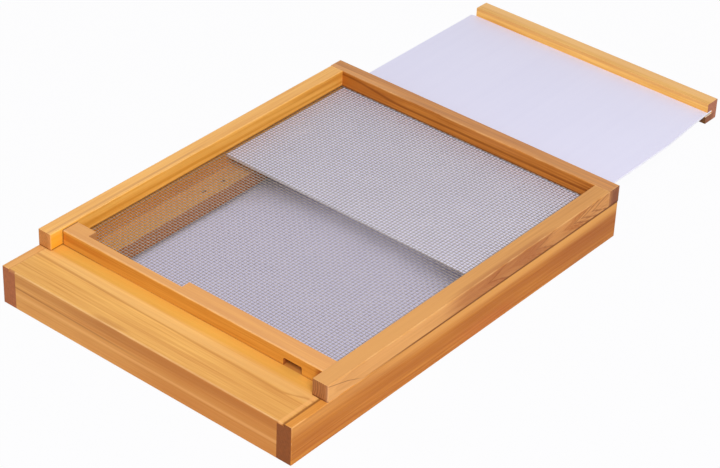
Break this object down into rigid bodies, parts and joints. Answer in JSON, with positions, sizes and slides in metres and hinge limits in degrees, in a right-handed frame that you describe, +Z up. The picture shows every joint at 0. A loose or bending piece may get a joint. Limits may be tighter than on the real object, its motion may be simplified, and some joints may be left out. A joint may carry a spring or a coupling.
{
  "type": "screened bottom board",
  "caption": "Wooden beehive floor with a wire screen, a landing board, a loose entrance reducer and a tray that slides in under the screen from behind.",
  "frame": {"origin": "on the ground, under the middle of the part's box with the tray drawn out as pictured", "axes": "+Y from the landing board to the tray at the back, +Z up, +X to the right seen from the front"},
  "size_m": [0.413, 0.817, 0.069],
  "materials": {
    "waxed_pine": "honey-coloured waxed softwood",
    "dowel_beech": "plain hardwood dowel",
    "galvanised_wire": "woven galvanised wire",
    "zinc_screw": "zinc-plated",
    "staple_wire": "galvanised",
    "white_plastic": "smooth satin white"
  },
  "bodies": {
    "base": {"left_side_rail": "waxed_pine", "right_side_rail": "waxed_pine", "landing_board": "waxed_pine", "rear_rail": "waxed_pine", "left_batten": "waxed_pine", "right_batten": "waxed_pine", "left_rim_strip": "waxed_pine", "right_rim_strip": "waxed_pine", "rear_rim_strip": "waxed_pine", "wire_screen": "galvanised_wire", "landing_dowels": "dowel_beech", "rear_rail_dowels": "dowel_beech", "batten_dowels": "dowel_beech", "side_rim_screws": "zinc_screw", "rear_rim_screws": "zinc_screw", "rim_staples": "staple_wire", "landing_staples": "staple_wire"},
    "tray": {"tray_sheet": "white_plastic", "tray_handle": "waxed_pine", "handle_screws": "zinc_screw"},
    "reducer": {"entrance_reducer": "waxed_pine"}
  },
  "joints": [
    {"name": "tray_slide", "type": "slide", "parent": "base", "child": "tray", "axis": [0, 1, 0], "range_m": [-0.237, 0.19]},
    {"name": "reducer_slide", "type": "slide", "parent": "base", "child": "reducer", "axis": [0, -1, 0], "range_m": [0, 0.071]}
  ]
}
